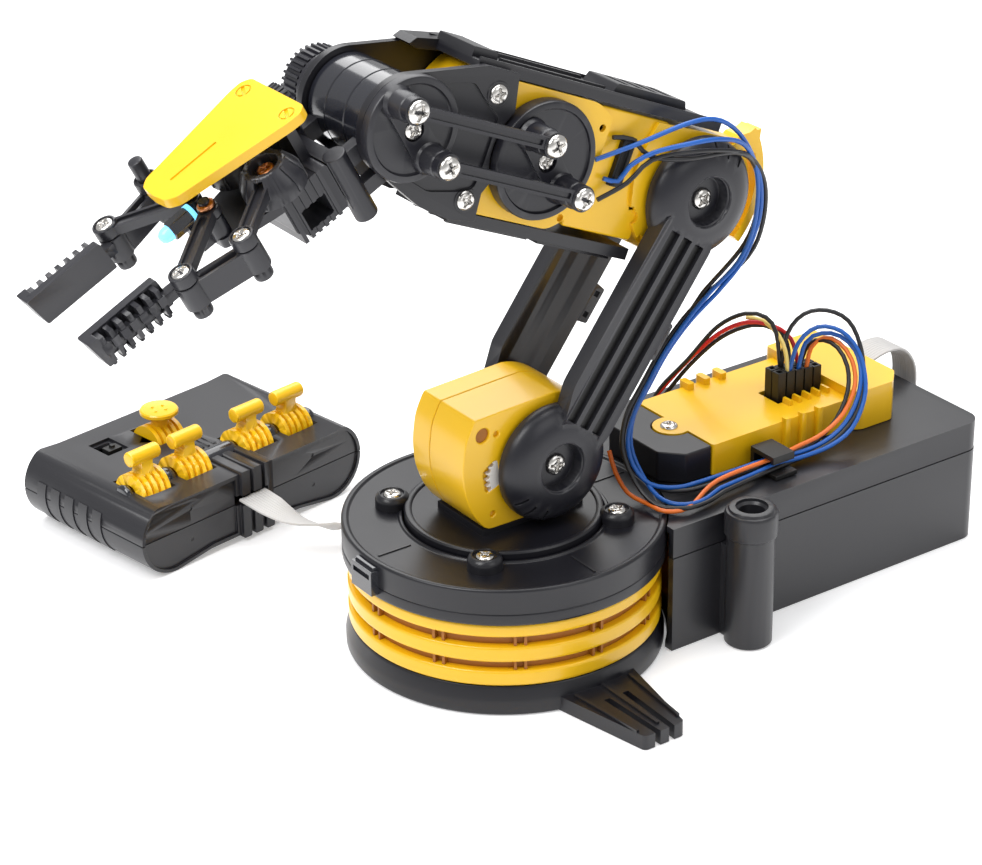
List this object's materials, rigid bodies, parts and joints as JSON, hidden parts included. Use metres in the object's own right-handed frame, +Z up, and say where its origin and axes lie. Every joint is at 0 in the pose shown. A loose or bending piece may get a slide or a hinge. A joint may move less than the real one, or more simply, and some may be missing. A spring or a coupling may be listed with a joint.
{
  "type": "motorised robot arm kit",
  "caption": "Motor-driven robot arm on a turntable base with a battery box, a two-finger gripper and a wired lever controller.",
  "frame": {"origin": "on the floor under the turntable axis", "axes": "+X the way the arm reaches, +Y the arm's left, +Z up"},
  "size_m": [0.341, 0.2608, 0.2059],
  "materials": {
    "yellow_plastic": "smooth moulded yellow plastic",
    "black_plastic": "semi-gloss moulded charcoal plastic",
    "grey_plastic": "satin charcoal plastic",
    "dark_plastic": "matt black plastic",
    "steel": "bright steel can",
    "cell_wrap": "printed metal can",
    "board": "green circuit board",
    "ribbon": "light grey flat cable",
    "blue_wire": "blue and black insulated leads",
    "red_wire": "red, yellow and black insulated leads",
    "lamp": "clear lamp in a black holder"
  },
  "bodies": {
    "root": {"base_plate": "black_plastic", "ring_housing": "yellow_plastic", "top_plate": "black_plastic", "base_gearbox": "yellow_plastic", "battery_tray": "black_plastic", "battery_lid": "black_plastic", "battery_cells": "cell_wrap", "control_cover": "yellow_plastic", "end_cap": "grey_plastic", "circuit_board": "board", "header_plugs": "dark_plastic", "wire_clip": "dark_plastic", "controller_bottom": "black_plastic", "controller_top": "black_plastic", "ribbon_cable": "ribbon", "wire_loop": "blue_wire", "wire_battery": "red_wire"},
    "turntable": {"turntable_disc": "black_plastic", "shoulder_housing_left": "yellow_plastic", "shoulder_housing_right": "yellow_plastic", "shoulder_motor": "steel", "wire_drop_lower": "blue_wire"},
    "upper_arm": {"upper_arm_left": "grey_plastic", "upper_arm_right": "grey_plastic", "shoulder_shaft": "grey_plastic", "elbow_shaft": "grey_plastic", "wire_drop_upper": "blue_wire"},
    "forearm": {"elbow_housing_left": "yellow_plastic", "elbow_housing_right": "yellow_plastic", "elbow_motor": "steel", "wrist_housing_left": "yellow_plastic", "wrist_housing_right": "yellow_plastic", "wrist_motor": "steel", "top_rail": "black_plastic", "bottom_rail": "black_plastic", "side_plate_left": "black_plastic", "side_plate_right": "black_plastic", "wire_elbow": "blue_wire"},
    "wrist_drive": {"drive_disc": "grey_plastic"},
    "rod_upper": {"push_rod_upper": "grey_plastic"},
    "rod_lower": {"push_rod_lower": "grey_plastic"},
    "hand": {"crank_disc": "grey_plastic", "wrist_drum": "grey_plastic", "wrist_wheel": "grey_plastic", "gripper_housing": "grey_plastic", "gripper_motor": "grey_plastic", "shield": "yellow_plastic", "lamp": "lamp"},
    "grip_left": {"gear_left": "grey_plastic"},
    "grip_right": {"gear_right": "grey_plastic"},
    "front_link_left": {"link_left": "grey_plastic"},
    "front_link_right": {"link_right": "grey_plastic"},
    "jaw_left_body": {"jaw_left": "grey_plastic"},
    "jaw_right_body": {"jaw_right": "grey_plastic"},
    "lever_1": {"lever_1": "yellow_plastic"},
    "lever_2": {"lever_2": "yellow_plastic"},
    "lever_3": {"lever_3": "yellow_plastic"},
    "lever_4": {"lever_4": "yellow_plastic"},
    "lamp_knob": {"knob": "yellow_plastic"},
    "switch": {"slide_switch": "dark_plastic"}
  },
  "joints": [
    {"name": "base_yaw", "type": "hinge", "parent": "root", "child": "turntable", "pos_m": [0, 0, 0.045], "axis": [0, 0, 1], "range_deg": [-135, 135], "deforming": ["wire_drop_lower"]},
    {"name": "shoulder", "type": "hinge", "parent": "turntable", "child": "upper_arm", "pos_m": [-0.0065, 0, 0.067], "axis": [0, 1, 0], "range_deg": [-5, 100], "deforming": ["wire_drop_upper"]},
    {"name": "elbow", "type": "hinge", "parent": "upper_arm", "child": "forearm", "pos_m": [-0.063, 0, 0.14225], "axis": [0, -1, 0], "range_deg": [-40, 150], "deforming": ["wire_elbow"]},
    {"name": "wrist", "type": "hinge", "parent": "forearm", "child": "hand", "pos_m": [0.04506, 0, 0.18991], "axis": [0, 1, 0], "range_deg": [-105, 9]},
    {"name": "wrist_drive", "type": "hinge", "parent": "forearm", "child": "wrist_drive", "pos_m": [-0.00298, 0, 0.16872], "axis": [0, 1, 0], "range_deg": [-106, 10]},
    {"name": "push_rod_upper", "type": "hinge", "parent": "wrist_drive", "child": "rod_upper", "pos_m": [0.00208, 0.0294, 0.17827], "axis": [0, 1, 0], "range_deg": [-10, 106]},
    {"name": "push_rod_lower", "type": "hinge", "parent": "wrist_drive", "child": "rod_lower", "pos_m": [-0.00803, 0.0294, 0.15918], "axis": [0, 1, 0], "range_deg": [-10, 106]},
    {"name": "grip_left", "type": "hinge", "parent": "hand", "child": "grip_left", "pos_m": [0.08623, 0.01, 0.18128], "axis": [0.454, 0, 0.891], "range_deg": [-33, 28]},
    {"name": "front_link_left", "type": "hinge", "parent": "hand", "child": "front_link_left", "pos_m": [0.10352, 0.005, 0.17359], "axis": [0.454, 0, 0.891], "range_deg": [-33.5, 28.5]},
    {"name": "jaw_left", "type": "hinge", "parent": "grip_left", "child": "jaw_left_body", "pos_m": [0.10265, 0.02651, 0.1673], "axis": [0.454, 0, 0.891], "range_deg": [-29, 34]},
    {"name": "grip_right", "type": "hinge", "parent": "hand", "child": "grip_right", "pos_m": [0.08623, -0.01, 0.18128], "axis": [0.454, 0, 0.891], "range_deg": [-29, 34]},
    {"name": "front_link_right", "type": "hinge", "parent": "hand", "child": "front_link_right", "pos_m": [0.10352, -0.005, 0.17359], "axis": [0.454, 0, 0.891], "range_deg": [-29, 34]},
    {"name": "jaw_right", "type": "hinge", "parent": "grip_right", "child": "jaw_right_body", "pos_m": [0.10265, -0.02651, 0.1673], "axis": [0.454, 0, 0.891], "range_deg": [-34, 29]},
    {"name": "lever_1", "type": "hinge", "parent": "root", "child": "lever_1", "pos_m": [0.06564, -0.11773, 0.0235], "axis": [-0.9848, -0.1736, 0], "range_deg": [-15, 15], "stiffness_Nm_per_rad": 0.02},
    {"name": "lever_2", "type": "hinge", "parent": "root", "child": "lever_2", "pos_m": [0.04742, -0.12094, 0.0235], "axis": [-0.9848, -0.1736, 0], "range_deg": [-15, 15], "stiffness_Nm_per_rad": 0.02},
    {"name": "lever_3", "type": "hinge", "parent": "root", "child": "lever_3", "pos_m": [0.01985, -0.1258, 0.0235], "axis": [-0.9848, -0.1736, 0], "range_deg": [-15, 15], "stiffness_Nm_per_rad": 0.02},
    {"name": "lever_4", "type": "hinge", "parent": "root", "child": "lever_4", "pos_m": [0.00163, -0.12902, 0.0235], "axis": [-0.9848, -0.1736, 0], "range_deg": [-15, 15], "stiffness_Nm_per_rad": 0.02},
    {"name": "knob", "type": "hinge", "parent": "root", "child": "lamp_knob", "pos_m": [0.04128, -0.14944, 0.022], "axis": [-0.9848, -0.1736, 0], "range_deg": [-12, 12], "stiffness_Nm_per_rad": 0.02},
    {"name": "switch", "type": "slide", "parent": "root", "child": "switch", "axis": [0.1736, -0.9848, 0], "range_m": [0, 0.004]}
  ],
  "couplings": [
    {"joint": "wrist_drive", "follows": "wrist", "ratio": 1},
    {"joint": "push_rod_upper", "follows": "wrist", "ratio": -1},
    {"joint": "push_rod_lower", "follows": "wrist", "ratio": -1},
    {"joint": "grip_right", "follows": "grip_left", "ratio": -1},
    {"joint": "front_link_left", "follows": "grip_left", "ratio": 1},
    {"joint": "front_link_right", "follows": "grip_left", "ratio": -1},
    {"joint": "jaw_left", "follows": "grip_left", "ratio": -1},
    {"joint": "jaw_right", "follows": "grip_left", "ratio": 1}
  ]
}
